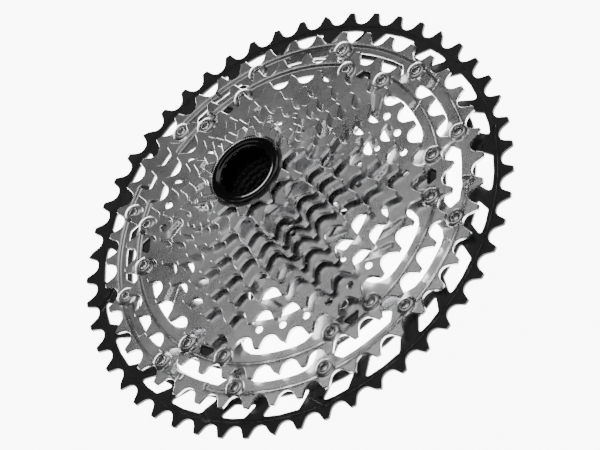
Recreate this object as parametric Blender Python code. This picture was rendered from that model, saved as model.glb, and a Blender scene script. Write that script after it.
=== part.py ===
"""Twelve-speed bicycle cassette sprocket, as an assembly of separate pieces.

Frame: metres, +Z up. The cassette lies on the back face of its largest sprocket,
the axle is the Z axis, and +Z points from the wheel towards the lockring.
Every length below is in millimetres and every angle in degrees, anticlockwise
from +X as seen from +Z. MM turns them into metres when a mesh is made.
"""

import math

import bmesh
import bpy
from mathutils import Matrix

MM = 0.001
GAP = 0.3

# Chain and tooth form: half-inch pitch, with rollers that sit on the pitch circle.
CHAIN_PITCH = 12.7
TOOTH_TIP_RISE = 1.75
TOOTH_TIP_HALF_WIDTH = 1.25
VALLEY_RADIUS = 3.96
VALLEY_SIDE_ANGLE = 52.0

# Axial layout.
SPROCKET_SPACING = 3.65
SPROCKET_THICKNESS = 1.8
TEETH = (51, 45, 39, 33, 28, 24, 21, 18, 16, 14, 12, 10)
# The direction of one tooth of each sprocket.
TOOTH_PHASE = {
    51: -0.5, 45: 2.45, 39: 7.45, 33: 4.6, 28: 4.5, 24: 8.7,
    21: 16.3, 18: 5.5, 16: 12.0, 14: 18.0, 12: 28.3, 10: 30.2,
}
# The two smallest sprockets stand forward of the even spacing, on taller collars.
FORWARD_PAIR = (12, 10)
FORWARD_STEP = 2.0

# Six-fold pattern of arms and windows, shared by the carrier and the large sprockets.
ARM_COUNT = 6
ARM_SPACING = 360.0 / ARM_COUNT
ARM_AZIMUTH = -46.0
WINDOW_AZIMUTH = ARM_AZIMUTH + ARM_SPACING / 2.0

# Largest sprocket: a rim, slanted ribs and a ring that takes the outer rivets.
WINDOW_PAIRS = 12
RIM_51_WINDOW_TOP = 95.4
RING_51_BORE = 81.5
RING_51_LUG = 79.5
LUG_HALF_WIDTHS = (2.4, 4.4)
BIG_WINDOW_BOTTOM = 86.9
SMALL_WINDOW_BOTTOM = 88.9
BIG_WINDOW = (8.0, 19.0)
SMALL_WINDOW = (-4.5, 3.0)
WINDOW_SLANT = 4.0

# Sprockets whose web is thinner than their rim.
WEB_THICKNESS = 1.1
RIM_45_BORE = 86.0
RIM_39_BORE = 73.8

# Six domes on the inner edge: radius of the arm ends, radius of the domes, half-width of a dome.
DOMES_45 = (67.3, 80.4, 13.0)
DOMES_39 = (56.3, 69.0, 16.0)
DOMES_33 = (44.5, 55.2, 18.0)
DOME_FOOT_SHARE = 1.08
DOME_SHOULDER_SHARE = 1.02
DOME_CROWN_SHARE = 0.7
DOME_SHOULDER_RISE = 0.45

# Six windows along a web: half-width, inner and outer radius, clipped corner.
WINDOWS_45 = (11.5, 75.3, 82.4, 2.0)
WINDOWS_28 = (14.0, 31.5, 47.3, 3.0)
WINDOWS_24 = (13.0, 28.5, 39.5, 3.0)
STACK_WINDOW_TURN = -2.0

# Rivets.
OUTER_RIVET_CIRCLE = 83.2
OUTER_RIVET_AZIMUTH = -0.9
OUTER_RIVET_COUNT = 12
INNER_RIVET_CIRCLE = 71.0
INNER_RIVET_SPREAD = 8.5
ARM_RIVET_CIRCLE = 62.0
HUB_RIVET_CIRCLE = 49.5
ARM_EYE = 2.3
ARM_EYE_CIRCLE = 70.3
RIVET_SHANK = 1.6
RIVET_HOLE = 2.1
RIVET_COLLAR = 2.9
RIVET_SIDES = 6
RIVET_FOOT_GAP = 0.1
# Rivet heads: radius and height. The broad ones stand proud of the rim around them.
BROAD_HEAD = (3.7, 0.75)
SMALL_HEAD = (2.6, 0.65)
HEAD_TOP_SHARE = 0.7

# Carrier: a splined hub with six two-level arms.
HUB_LOW = 2.6
HUB_TOP = 14.3
HUB_RADIUS = 26.0
ARM_LOW = 3.0
ARM_STEP = 7.15
ARM_TOP = 10.65
# Arms of each step: tip radius, radius at the root, half-width at the tip and at the neck.
LOWER_ARMS = (66.5, 28.4, 11.5, 7.0)
UPPER_ARMS = (54.0, 27.4, 8.5, 5.5)
ARM_NECK_SHARE = 0.45
ARM_ROOT_FLARE = 1.15
ARM_TIP_TAPER = (6.0, 2.5)
ARM_ROOT_GAP = (23.0, 37.0)
# A tongue on each lower arm lies on the web of the 45-tooth sprocket, under the next one.
TONGUE_LOW = 5.05
TONGUE_TIP = 73.2
TONGUE_HALF_WIDTH = 4.6

# Freehub splines and the plain bores of the pieces beyond them.
SPLINE_COUNT = 23
SPLINE_ROOT = 16.8
SPLINE_CREST = 15.9
SPACER_BORE = 17.2
BORE_10 = 13.6

# Spacers between the loose sprockets: teeth of the sprocket behind, outer radius.
SPACERS = ((28, 24.0), (24, 21.5), (21, 21.0), (18, 21.0), (16, 20.5))
COLLAR_12 = 19.6
COLLAR_10 = 16.2
WASHER_SEAT = 15.4
WASHER_SEAT_DEPTH = 1.0

# Lockring and its washer.
LOCKRING_TOP = 44.9
FLANGE_THICKNESS = 0.7
FLANGE_RADIUS = 16.6
THREAD_RADIUS = 12.9
THREAD_LENGTH = 9.6
TOOL_SPLINES = 12
TOOL_ROOT = 11.8
TOOL_CREST = 11.0
WASHER_THICKNESS = 0.7
WASHER_RADIUS = 15.1
WASHER_BORE = 13.3


def polar(radius, azimuth):
    angle = math.radians(azimuth)
    return radius * math.cos(angle), radius * math.sin(angle)


def pitch_radius(teeth):
    return CHAIN_PITCH / (2.0 * math.sin(math.pi / teeth))


def sprocket_low(teeth):
    """Height of a sprocket's back face."""
    step = FORWARD_STEP if teeth in FORWARD_PAIR else 0.0
    return SPROCKET_SPACING * TEETH.index(teeth) + step


def sprocket_top(teeth):
    return sprocket_low(teeth) + SPROCKET_THICKNESS


# ------------------------------------------------------- places round the axle


def arm_azimuths():
    return [ARM_AZIMUTH + ARM_SPACING * k for k in range(ARM_COUNT)]


def window_azimuths():
    return [WINDOW_AZIMUTH + ARM_SPACING * k for k in range(ARM_COUNT)]


def outer_rivet_azimuths():
    return [OUTER_RIVET_AZIMUTH + 360.0 * i / OUTER_RIVET_COUNT for i in range(OUTER_RIVET_COUNT)]


def inner_rivet_azimuths():
    return [arm + side * INNER_RIVET_SPREAD for arm in arm_azimuths() for side in (-1.0, 1.0)]


# ---------------------------------------------------------------- outlines


def circle(radius, sides, centre=(0.0, 0.0)):
    points = [polar(radius, 360.0 * (i + 0.5) / sides) for i in range(sides)]
    return [(centre[0] + x, centre[1] + y) for x, y in points]


def arc(radius, start, end, count):
    return [polar(radius, start + (end - start) * i / (count - 1)) for i in range(count)]


def tooth_outline(teeth):
    """Roller valleys with straight flanks up to a narrow flat tip."""
    radius = pitch_radius(teeth)
    step = 360.0 / teeth
    tip = radius + TOOTH_TIP_RISE
    tip_angle = math.degrees(TOOTH_TIP_HALF_WIDTH / tip)
    side = math.radians(VALLEY_SIDE_ANGLE)
    side_radius = radius - VALLEY_RADIUS * math.cos(side)
    side_angle = math.degrees(VALLEY_RADIUS * math.sin(side) / radius)
    points = []
    for i in range(teeth):
        middle = TOOTH_PHASE[teeth] + step * i
        valley = middle + step / 2.0
        points.append(polar(tip, middle - tip_angle))
        points.append(polar(tip, middle + tip_angle))
        points.append(polar(side_radius, valley - side_angle))
        points.append(polar(radius - VALLEY_RADIUS, valley))
        points.append(polar(side_radius, valley + side_angle))
    return points


def splined_bore(count, root, crest):
    """A bore whose pointed keys reach in from the root radius to the crest radius."""
    step = 360.0 / count
    points = []
    for i in range(count):
        points.append(polar(root, step * i))
        points.append(polar(crest, step * (i + 0.5)))
    return points


def domed_opening(arm_radius, dome_radius, half_width):
    """The inner edge of a ring: six domes between six arms that reach further in."""
    points = []
    shoulder = arm_radius + DOME_SHOULDER_RISE * (dome_radius - arm_radius)
    foot_angle = DOME_FOOT_SHARE * half_width
    shoulder_angle = DOME_SHOULDER_SHARE * half_width
    crown_angle = DOME_CROWN_SHARE * half_width
    for middle in window_azimuths():
        points.append(polar(arm_radius, middle - foot_angle))
        points.append(polar(shoulder, middle - shoulder_angle))
        points += arc(dome_radius, middle - crown_angle, middle + crown_angle, 4)
        points.append(polar(shoulder, middle + shoulder_angle))
        points.append(polar(arm_radius, middle + foot_angle))
        points.append(polar(arm_radius, middle + ARM_SPACING / 2.0))
    return points


def ring_window(middle, half_width, low, high, corner):
    """A window along the ring with clipped corners; corner is in degrees."""
    waist = 0.5 * (low + high)
    outer = arc(high, middle - half_width + corner, middle + half_width - corner, 3)
    inner = arc(low, middle + half_width - corner, middle - half_width + corner, 3)
    return outer + [polar(waist, middle + half_width)] + inner + [polar(waist, middle - half_width)]


def slanted_window(start, end, low, high):
    """A window whose sides lean: the inner edge is turned by WINDOW_SLANT."""
    return [polar(high, start), polar(high, end),
            polar(low, end + WINDOW_SLANT), polar(low, start + WINDOW_SLANT)]


def lugged_bore():
    """The inner edge of the largest sprocket: it steps inwards at each outer rivet."""
    near, far = LUG_HALF_WIDTHS
    half_gap = 180.0 / OUTER_RIVET_COUNT
    points = []
    for middle in outer_rivet_azimuths():
        points += [polar(RING_51_BORE, middle - far), polar(RING_51_LUG, middle - near),
                   polar(RING_51_LUG, middle + near), polar(RING_51_BORE, middle + far)]
        points += arc(RING_51_BORE, middle + 0.75 * half_gap, middle + 1.25 * half_gap, 3)
    return points


def tongue_outline(middle):
    """The tongue at the end of one arm, from one foot to the other; widths in millimetres."""
    foot_radius = LOWER_ARMS[0]
    foot = math.degrees(TONGUE_HALF_WIDTH / foot_radius)
    tip = math.degrees(TONGUE_HALF_WIDTH / TONGUE_TIP)
    return [polar(foot_radius, middle - foot), polar(TONGUE_TIP, middle - tip),
            polar(TONGUE_TIP, middle + tip), polar(foot_radius, middle + foot)]


def tongue_foot(middle):
    outline = tongue_outline(middle)
    return [outline[0], outline[-1]]


def arm_star(tip_radius, root_radius, tip_half_width, neck_half_width, end):
    """Six arms that narrow to a neck and widen again; end gives the points across a tip."""
    neck_radius = root_radius + ARM_NECK_SHARE * (tip_radius - root_radius)
    taper_length, taper_width = ARM_TIP_TAPER
    sections = ((root_radius, ARM_ROOT_FLARE * neck_half_width), (neck_radius, neck_half_width),
                (tip_radius - taper_length, tip_half_width), (tip_radius, tip_half_width - taper_width))
    sides = [(radius, math.degrees(half / radius)) for radius, half in sections]
    points = []
    for middle in arm_azimuths():
        points += [polar(radius, middle - angle) for radius, angle in sides]
        points += end(middle)
        points += [polar(radius, middle + angle) for radius, angle in reversed(sides)]
        points += [polar(root_radius, middle + turn) for turn in ARM_ROOT_GAP]
    return points


# ------------------------------------------------------------------ solids


def fill(bm, loops, height):
    """A flat face between an outline and the holes in it."""
    edges = []
    for loop in loops:
        verts = [bm.verts.new((x * MM, y * MM, height * MM)) for x, y in loop]
        edges += [bm.edges.new((a, b)) for a, b in zip(verts, verts[1:] + verts[:1])]
    bmesh.ops.triangle_fill(bm, edges=edges, use_beauty=True, use_dissolve=False)


def wall(bm, loop, low, high):
    """An upright band along a loop."""
    lower = [bm.verts.new((x * MM, y * MM, low * MM)) for x, y in loop]
    upper = [bm.verts.new((x * MM, y * MM, high * MM)) for x, y in loop]
    for i in range(len(loop)):
        j = (i + 1) % len(loop)
        bm.faces.new((lower[i], lower[j], upper[j], upper[i]))


def weld(name, bm):
    """Joins the faces and bands of one solid along their shared edges."""
    bmesh.ops.remove_doubles(bm, verts=bm.verts[:], dist=1e-6)
    bmesh.ops.recalc_face_normals(bm, faces=bm.faces[:])
    return new_object(name, bm)


def plate(name, outline, holes, low, high):
    """A flat plate with holes."""
    bm = bmesh.new()
    fill(bm, [outline] + holes, low)
    fill(bm, [outline] + holes, high)
    for loop in [outline] + holes:
        wall(bm, loop, low, high)
    return weld(name, bm)


def set_back_plate(name, outline, step, holes, low, web_high, high):
    """A plate whose front face drops to web_high inside the step loop."""
    bm = bmesh.new()
    fill(bm, [outline] + holes, low)
    fill(bm, [outline, step], high)
    fill(bm, [step] + holes, web_high)
    wall(bm, outline, low, high)
    wall(bm, step, web_high, high)
    for loop in holes:
        wall(bm, loop, low, web_high)
    return weld(name, bm)


def collared_plate(name, outline, collar, bore, heights, seat=None):
    """A plate with a collar on its back and one bore through both.

    heights lists the collar's foot, the plate's back and the plate's front; seat is the
    loop and floor height of a shallow counterbore in the front.
    """
    foot, back, front = heights
    bm = bmesh.new()
    fill(bm, [collar, bore], foot)
    fill(bm, [outline, collar], back)
    wall(bm, collar, foot, back)
    wall(bm, outline, back, front)
    if seat:
        rim, floor = seat
        fill(bm, [outline, rim], front)
        fill(bm, [rim, bore], floor)
        wall(bm, rim, floor, front)
        wall(bm, bore, foot, floor)
    else:
        fill(bm, [outline, bore], front)
        wall(bm, bore, foot, front)
    return weld(name, bm)


def turned(name, profile, sides, centre=(0.0, 0.0)):
    """A solid of revolution; the profile lists (radius, height) from bottom to top."""
    bm = bmesh.new()
    rings = []
    for radius, height in profile:
        if radius == 0.0:
            rings.append([bm.verts.new((centre[0] * MM, centre[1] * MM, height * MM))])
        else:
            loop = circle(radius, sides, centre)
            rings.append([bm.verts.new((x * MM, y * MM, height * MM)) for x, y in loop])
    for lower, upper in zip(rings, rings[1:]):
        for i in range(sides):
            j = (i + 1) % sides
            corners = [lower[i % len(lower)], lower[j % len(lower)],
                       upper[j % len(upper)], upper[i % len(upper)]]
            bm.faces.new(dict.fromkeys(corners))
    bmesh.ops.recalc_face_normals(bm, faces=bm.faces[:])
    return new_object(name, bm)


def new_object(name, bm):
    mesh = bpy.data.meshes.new(name)
    bm.to_mesh(mesh)
    bm.free()
    mesh.shade_smooth()
    mesh.set_sharp_from_angle(angle=math.radians(35.0))
    obj = bpy.data.objects.new(name, mesh)
    bpy.context.scene.collection.objects.link(obj)
    return obj


def material(name, colour, metallic, roughness):
    made = bpy.data.materials.new(name)
    made.use_nodes = True
    shader = made.node_tree.nodes["Principled BSDF"]
    shader.inputs["Base Color"].default_value = (*colour, 1.0)
    shader.inputs["Metallic"].default_value = metallic
    shader.inputs["Roughness"].default_value = roughness
    return made


def finish(obj, surface):
    obj.data.materials.append(surface)
    return obj


def round_holes(radius, circle_radius, azimuths, sides=RIVET_SIDES):
    return [circle(radius, sides, polar(circle_radius, azimuth)) for azimuth in azimuths]


# ------------------------------------------------------------ large sprockets


def sprocket_51(surface):
    windows = []
    for k in range(WINDOW_PAIRS):
        turn = 360.0 * k / WINDOW_PAIRS
        windows.append(slanted_window(BIG_WINDOW[0] + turn, BIG_WINDOW[1] + turn,
                                      BIG_WINDOW_BOTTOM, RIM_51_WINDOW_TOP))
        windows.append(slanted_window(SMALL_WINDOW[0] + turn, SMALL_WINDOW[1] + turn,
                                      SMALL_WINDOW_BOTTOM, RIM_51_WINDOW_TOP))
    holes = round_holes(RIVET_HOLE, OUTER_RIVET_CIRCLE, outer_rivet_azimuths())
    holes.append(lugged_bore())
    ring = plate("sprocket_51", tooth_outline(51), windows + holes,
                 sprocket_low(51), sprocket_top(51))
    return finish(ring, surface)


def stepped_sprocket(teeth, rim_bore, holes, surface):
    """A toothed rim with a thinner web inside it, set back from the front."""
    low = sprocket_low(teeth)
    disc = set_back_plate(f"sprocket_{teeth}", tooth_outline(teeth), circle(rim_bore, 40), holes,
                          low, low + WEB_THICKNESS, low + SPROCKET_THICKNESS)
    return finish(disc, surface)


def sprocket_45(surface):
    holes = round_holes(RIVET_HOLE, OUTER_RIVET_CIRCLE, outer_rivet_azimuths())
    holes += round_holes(RIVET_HOLE, INNER_RIVET_CIRCLE, inner_rivet_azimuths())
    holes += [ring_window(azimuth, *WINDOWS_45) for azimuth in arm_azimuths()]
    holes.append(domed_opening(*DOMES_45))
    return stepped_sprocket(45, RIM_45_BORE, holes, surface)


def sprocket_39(surface):
    holes = round_holes(RIVET_HOLE, INNER_RIVET_CIRCLE, inner_rivet_azimuths())
    holes += round_holes(RIVET_HOLE, ARM_RIVET_CIRCLE, arm_azimuths())
    holes += round_holes(ARM_EYE, ARM_EYE_CIRCLE, arm_azimuths())
    holes.append(domed_opening(*DOMES_39))
    return stepped_sprocket(39, RIM_39_BORE, holes, surface)


def sprocket_33(surface):
    holes = round_holes(RIVET_HOLE, HUB_RIVET_CIRCLE, arm_azimuths())
    holes.append(domed_opening(*DOMES_33))
    ring = plate("sprocket_33", tooth_outline(33), holes, sprocket_low(33), sprocket_top(33))
    return finish(ring, surface)


# ------------------------------------------------------------ loose sprockets


def splined_sprocket(teeth, windows, surface):
    holes = [splined_bore(SPLINE_COUNT, SPLINE_ROOT, SPLINE_CREST)] + windows
    disc = plate(f"sprocket_{teeth}", tooth_outline(teeth), holes,
                 sprocket_low(teeth), sprocket_top(teeth))
    return finish(disc, surface)


def window_ring(size):
    return [ring_window(azimuth + STACK_WINDOW_TURN, *size) for azimuth in window_azimuths()]


def collar_foot(teeth):
    """Height at which the collar of a small sprocket meets the sprocket behind it."""
    behind = TEETH[TEETH.index(teeth) - 1]
    return sprocket_top(behind) + GAP


def sprocket_12(surface):
    heights = (collar_foot(12), sprocket_low(12), sprocket_top(12))
    bore = splined_bore(SPLINE_COUNT, SPLINE_ROOT, SPLINE_CREST)
    disc = collared_plate("sprocket_12", tooth_outline(12), circle(COLLAR_12, 20), bore, heights)
    return finish(disc, surface)


def sprocket_10(surface):
    """The smallest sprocket: its front is counterbored for the lockring's washer."""
    heights = (collar_foot(10), sprocket_low(10), sprocket_top(10))
    seat = (circle(WASHER_SEAT, 20), sprocket_top(10) - WASHER_SEAT_DEPTH)
    disc = collared_plate("sprocket_10", tooth_outline(10), circle(COLLAR_10, 20),
                          circle(BORE_10, 20), heights, seat)
    return finish(disc, surface)


def spacer(teeth_behind, radius, surface):
    low = sprocket_top(teeth_behind) + GAP
    high = sprocket_low(teeth_behind) + SPROCKET_SPACING - GAP
    ring = plate(f"spacer_{teeth_behind}", circle(radius, 16), [circle(SPACER_BORE, 16)], low, high)
    return finish(ring, surface)


# ------------------------------------------------------- carrier and fasteners


def carrier(surface):
    """A splined hub; its six arms have a low outer step with a tongue, and a high inner step."""
    hub = circle(HUB_RADIUS, 36)
    bore = splined_bore(SPLINE_COUNT, SPLINE_ROOT, SPLINE_CREST)
    lower_arms = arm_star(*LOWER_ARMS, tongue_foot)
    tongued_arms = arm_star(*LOWER_ARMS, tongue_outline)
    upper_arms = arm_star(*UPPER_ARMS, lambda middle: [polar(UPPER_ARMS[0], middle)])
    arm_holes = round_holes(RIVET_HOLE, ARM_RIVET_CIRCLE, arm_azimuths())
    hub_holes = round_holes(RIVET_HOLE, HUB_RIVET_CIRCLE, arm_azimuths())
    bm = bmesh.new()
    fill(bm, [hub, bore], HUB_LOW)
    fill(bm, [lower_arms, hub] + arm_holes + hub_holes, ARM_LOW)
    for azimuth in arm_azimuths():
        fill(bm, [tongue_outline(azimuth)], TONGUE_LOW)
    fill(bm, [tongued_arms, upper_arms] + arm_holes, ARM_STEP)
    fill(bm, [upper_arms, hub] + hub_holes, ARM_TOP)
    fill(bm, [hub, bore], HUB_TOP)
    bands = [(hub, HUB_LOW, ARM_LOW), (lower_arms, ARM_LOW, TONGUE_LOW),
             (tongued_arms, TONGUE_LOW, ARM_STEP), (upper_arms, ARM_STEP, ARM_TOP),
             (hub, ARM_TOP, HUB_TOP), (bore, HUB_LOW, HUB_TOP)]
    bands += [(hole, ARM_LOW, ARM_STEP) for hole in arm_holes]
    bands += [(hole, ARM_LOW, ARM_TOP) for hole in hub_holes]
    for loop, low, high in bands:
        wall(bm, loop, low, high)
    return finish(weld("carrier", bm), surface)


def rivet(name, azimuth, circle_radius, levels, surface):
    """A rivet from its levels: foot, collars with their underside and top, underside of the head."""
    foot, collars, head_low, head = levels
    head_radius, head_height = head
    profile = [(0.0, foot), (RIVET_SHANK, foot)]
    for low, high in collars:
        profile += [(RIVET_SHANK, low), (RIVET_COLLAR, low), (RIVET_COLLAR, high), (RIVET_SHANK, high)]
    profile += [(RIVET_SHANK, head_low), (head_radius, head_low),
                (HEAD_TOP_SHARE * head_radius, head_low + head_height), (0.0, head_low + head_height)]
    body = turned(name, profile, RIVET_SIDES, polar(circle_radius, azimuth))
    return finish(body, surface)


def web_top(teeth):
    return sprocket_low(teeth) + WEB_THICKNESS


def rivets(surface):
    collar_51_45 = (sprocket_top(51) + GAP, sprocket_low(45) - GAP)
    outer = (GAP, [collar_51_45], sprocket_top(45) + GAP, BROAD_HEAD)
    collar_45_39 = (web_top(45) + GAP, sprocket_low(39) - GAP)
    inner = (sprocket_low(45) + RIVET_FOOT_GAP, [collar_45_39], sprocket_top(39) + GAP, BROAD_HEAD)
    arm = (ARM_LOW + RIVET_FOOT_GAP, [], web_top(39) + GAP, SMALL_HEAD)
    hub = (ARM_LOW + RIVET_FOOT_GAP, [], sprocket_top(33) + GAP, SMALL_HEAD)
    groups = (("outer_rivet", outer_rivet_azimuths(), OUTER_RIVET_CIRCLE, outer),
              ("inner_rivet", inner_rivet_azimuths(), INNER_RIVET_CIRCLE, inner),
              ("arm_rivet", arm_azimuths(), ARM_RIVET_CIRCLE, arm),
              ("hub_rivet", arm_azimuths(), HUB_RIVET_CIRCLE, hub))
    for name, azimuths, radius, levels in groups:
        for i, azimuth in enumerate(azimuths, 1):
            rivet(f"{name}_{i:02d}", azimuth, radius, levels, surface)


def washer(surface):
    """Lies in the counterbore of the smallest sprocket, under the lockring's flange."""
    low = sprocket_top(10) - WASHER_SEAT_DEPTH + GAP
    ring = plate("lockring_washer", circle(WASHER_RADIUS, 20), [circle(WASHER_BORE, 20)],
                 low, low + WASHER_THICKNESS)
    return finish(ring, surface)


def lockring(surface):
    """A flange with its thread tube behind it and a toothed socket right through."""
    flange_low = LOCKRING_TOP - FLANGE_THICKNESS
    heights = (flange_low - THREAD_LENGTH, flange_low, LOCKRING_TOP)
    ring = collared_plate("lockring", circle(FLANGE_RADIUS, 32), circle(THREAD_RADIUS, 24),
                          splined_bore(TOOL_SPLINES, TOOL_ROOT, TOOL_CREST), heights)
    return finish(ring, surface)


# ---------------------------------------------------------------- assembly


def empty_on_axis(name, height):
    """A parent on the axle, which is the axis of every slide and of the lockring's thread."""
    made = bpy.data.objects.new(name, None)
    made.empty_display_size = 0.02
    made.location = (0.0, 0.0, height * MM)
    bpy.context.scene.collection.objects.link(made)
    return made


def hang(children, parent):
    for child in children:
        child.parent = parent
        child.matrix_parent_inverse = Matrix.Translation(-parent.location)


def clear_scene():
    for obj in list(bpy.data.objects):
        bpy.data.objects.remove(obj, do_unlink=True)


def main():
    clear_scene()
    black_aluminium = material("black_aluminium", (0.016, 0.016, 0.018), 0.6, 0.38)
    nickel_steel = material("nickel_steel", (0.52, 0.52, 0.53), 1.0, 0.34)
    carrier_aluminium = material("carrier_aluminium", (0.055, 0.055, 0.06), 0.7, 0.45)
    rivet_steel = material("rivet_steel", (0.62, 0.62, 0.63), 1.0, 0.25)
    spacer_resin = material("spacer_resin", (0.03, 0.03, 0.032), 0.0, 0.5)
    lockring_black = material("lockring_black", (0.01, 0.01, 0.011), 0.5, 0.22)
    washer_steel = material("washer_steel", (0.4, 0.4, 0.41), 1.0, 0.3)

    sprocket_51(black_aluminium)
    sprocket_45(nickel_steel)
    sprocket_39(nickel_steel)
    sprocket_33(nickel_steel)
    carrier(carrier_aluminium)
    rivets(rivet_steel)

    spacers = {teeth: spacer(teeth, radius, spacer_resin) for teeth, radius in SPACERS}
    stack = [splined_sprocket(28, window_ring(WINDOWS_28), nickel_steel),
             splined_sprocket(24, window_ring(WINDOWS_24), nickel_steel),
             splined_sprocket(21, [], nickel_steel),
             splined_sprocket(18, [], nickel_steel),
             splined_sprocket(16, [], nickel_steel)]
    stack += [spacers[28], spacers[24], spacers[21], spacers[18]]
    small_14 = [splined_sprocket(14, [], nickel_steel), spacers[16]]
    small_12 = [sprocket_12(nickel_steel)]
    small_10 = [sprocket_10(nickel_steel)]
    cap = [washer(washer_steel), lockring(lockring_black)]

    hang(stack, empty_on_axis("stack_axis", sprocket_low(28)))
    hang(small_14, empty_on_axis("sprocket_14_axis", sprocket_low(14)))
    hang(small_12, empty_on_axis("sprocket_12_axis", sprocket_low(12)))
    hang(small_10, empty_on_axis("sprocket_10_axis", sprocket_low(10)))
    hang(cap, empty_on_axis("lockring_axis", sprocket_top(10)))


main()
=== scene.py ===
import math

import bpy
import numpy as np
from mathutils import Matrix, Vector
from mathutils.geometry import delaunay_2d_cdt


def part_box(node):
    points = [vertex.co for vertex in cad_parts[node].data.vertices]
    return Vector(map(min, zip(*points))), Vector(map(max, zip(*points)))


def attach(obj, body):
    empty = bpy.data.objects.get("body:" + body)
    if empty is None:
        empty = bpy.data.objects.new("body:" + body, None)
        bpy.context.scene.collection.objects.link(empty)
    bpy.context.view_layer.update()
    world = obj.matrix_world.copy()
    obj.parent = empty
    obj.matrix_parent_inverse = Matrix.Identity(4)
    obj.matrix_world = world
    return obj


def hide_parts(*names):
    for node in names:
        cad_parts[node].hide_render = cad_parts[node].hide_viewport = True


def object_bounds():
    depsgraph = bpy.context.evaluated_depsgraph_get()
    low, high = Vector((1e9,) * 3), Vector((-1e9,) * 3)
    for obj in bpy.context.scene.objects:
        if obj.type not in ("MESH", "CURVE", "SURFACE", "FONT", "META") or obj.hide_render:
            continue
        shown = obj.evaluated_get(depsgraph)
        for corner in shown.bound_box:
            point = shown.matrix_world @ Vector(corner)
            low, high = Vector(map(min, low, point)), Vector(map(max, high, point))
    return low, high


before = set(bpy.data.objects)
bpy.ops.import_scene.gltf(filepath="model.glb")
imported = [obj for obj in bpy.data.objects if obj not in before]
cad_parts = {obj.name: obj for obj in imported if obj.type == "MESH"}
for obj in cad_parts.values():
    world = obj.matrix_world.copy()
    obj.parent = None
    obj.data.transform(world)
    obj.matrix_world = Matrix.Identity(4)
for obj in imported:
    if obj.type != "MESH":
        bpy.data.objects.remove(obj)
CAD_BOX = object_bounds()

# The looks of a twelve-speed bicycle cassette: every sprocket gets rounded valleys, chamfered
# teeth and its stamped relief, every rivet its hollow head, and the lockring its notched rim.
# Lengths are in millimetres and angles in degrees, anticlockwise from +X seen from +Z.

MM = 0.001
CHAIN_PITCH = 12.7
CHAMFER = 0.3
EDGE_SPACING = 1.2

# A tooth's crown: the drop below its tip and the share of its half width at each corner.
TIP_RISE = 1.75
TIP_HALF_WIDTH = 1.3
TIP_CORNERS = ((0.5, 1.12), (0.12, 0.92), (0.0, 0.66))
CUT_TOOTH_DROP = 1.3
VALLEY_RADIUS = 3.96
VALLEY_HALF_ANGLE = 62.0

# Rivets: the radii of the circles they sit on and of the holes they fill.
OUTER_CIRCLE = 83.2
INNER_CIRCLE = 71.0
ARM_CIRCLE = 62.0
HUB_CIRCLE = 49.5
RIVET_HOLE = 1.7

# Rivets: the shank's radius and the width of the rim round a head's hollow. Then, for a head in
# a boss and a head on a flat: its radius, its drop below the CAD's top and its depth.
SHANK = 1.6
HEAD_RIM = 0.65
BOSS_HEAD = (2.05, 0.3, 1.9)
FLAT_HEAD = (2.4, 0.0, 0.75)

# The ring pressed up round each rivet: radii from its axis, and depths below the rim's front.
BOSS_RADII = (1.9, 2.15, 2.35, 2.55, 2.8, 3.2, 3.6, 4.0, 4.35, 4.7)
BOSS_DEPTHS = (0.75, -0.1, -0.5, -0.7, -0.7, -0.61, -0.48, -0.31, -0.12, 0.78)
BOSS_CREST = 2.8
BOSS_FOOT = 4.7

# The stamped step that runs round the 45 and 39-tooth sprockets.
STEP_DEPTH = 0.7
STEP_WIDTH = 1.7

# The splined bores: number and radii of the splines, and the radius within which faces are theirs
# and take the bore's painted shade.
SPLINE_COUNT = 23
SPLINE_ROOT = 16.75
SPLINE_CREST = 15.95
BORE_LIMIT = 17.5

# The 12 and 10-tooth sprockets: the disc's thickness, and how far the collar reaches into it.
COLLARED_DISC = 1.8
COLLAR_OVERLAP = 0.75

# The lockring: the flange's thickness, the number of notches in its rim, and radii.
FLANGE = 0.7
NOTCHES = 110
NOTCH_CREST = 16.45
NOTCH_ROOT = 16.05
TUBE = 12.75
SOCKET_ROOT = 11.8
SOCKET_CREST = 11.05

# Azimuth of each sprocket's first tooth, then of the arms, domed cut-outs and rivets.
TOOTH_PHASE = {
    51: -0.5, 45: 2.45, 39: 7.45, 33: 4.6, 28: 4.5, 24: 8.7,
    21: 16.3, 18: 5.5, 16: 12.0, 14: 18.0, 12: 28.3, 10: 30.2,
}
ARMS = [-46.0 + 60.0 * k for k in range(6)]
DOMES = [-16.0 + 60.0 * k for k in range(6)]
OUTER_RIVETS = [-0.9 + 30.0 * k for k in range(12)]
INNER_RIVETS = [arm + side for arm in ARMS for side in (-8.5, 8.5)]

# Metal textures: noise scales per metre, and the metres that a radian round the axle counts for.
GRAIN_SCALE = 2600.0
GRAIN_STRETCH = 0.006
CLOUD_SCALE = 55.0
PIT_SCALE = 900.0
DENT_SCALE = 160.0

# The studio, in metres: a glowing floor with a dark disc of painted shade under the hub.
FLOOR_SIZE = 6.0
FLOOR_GLOW = 9.0
PAINTED_SHADE_DISC = 0.022
PALE_FROM = 0.026
WORLD_GLOW = 0.035

# The camera looks at the aim, a point on the base plane, from this direction and distance.
CAMERA_AZIMUTH = -36.516
CAMERA_ELEVATION = 47.04
CAMERA_ROLL = -44.666
CAMERA_DISTANCE = 1.5256
CAMERA_AIM = (0.00281, -0.00183, 0.0)
LENS = 212.35


# ------------------------------------------------------------------ 2-D shapes


def polar(radius, azimuth):
    """Points from radii and azimuths, which may be arrays."""
    angle = np.radians(azimuth)
    return np.stack([radius * np.cos(angle), radius * np.sin(angle)], axis=-1)


def circle(radius, count, centre=(0.0, 0.0)):
    return polar(radius, np.arange(count) * 360.0 / count) + np.asarray(centre)


def arc(radius, start, end, count):
    return [polar(radius, a) for a in np.linspace(start, end, count)]


def pitch_radius(teeth):
    return CHAIN_PITCH / (2.0 * math.sin(math.pi / teeth))


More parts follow.
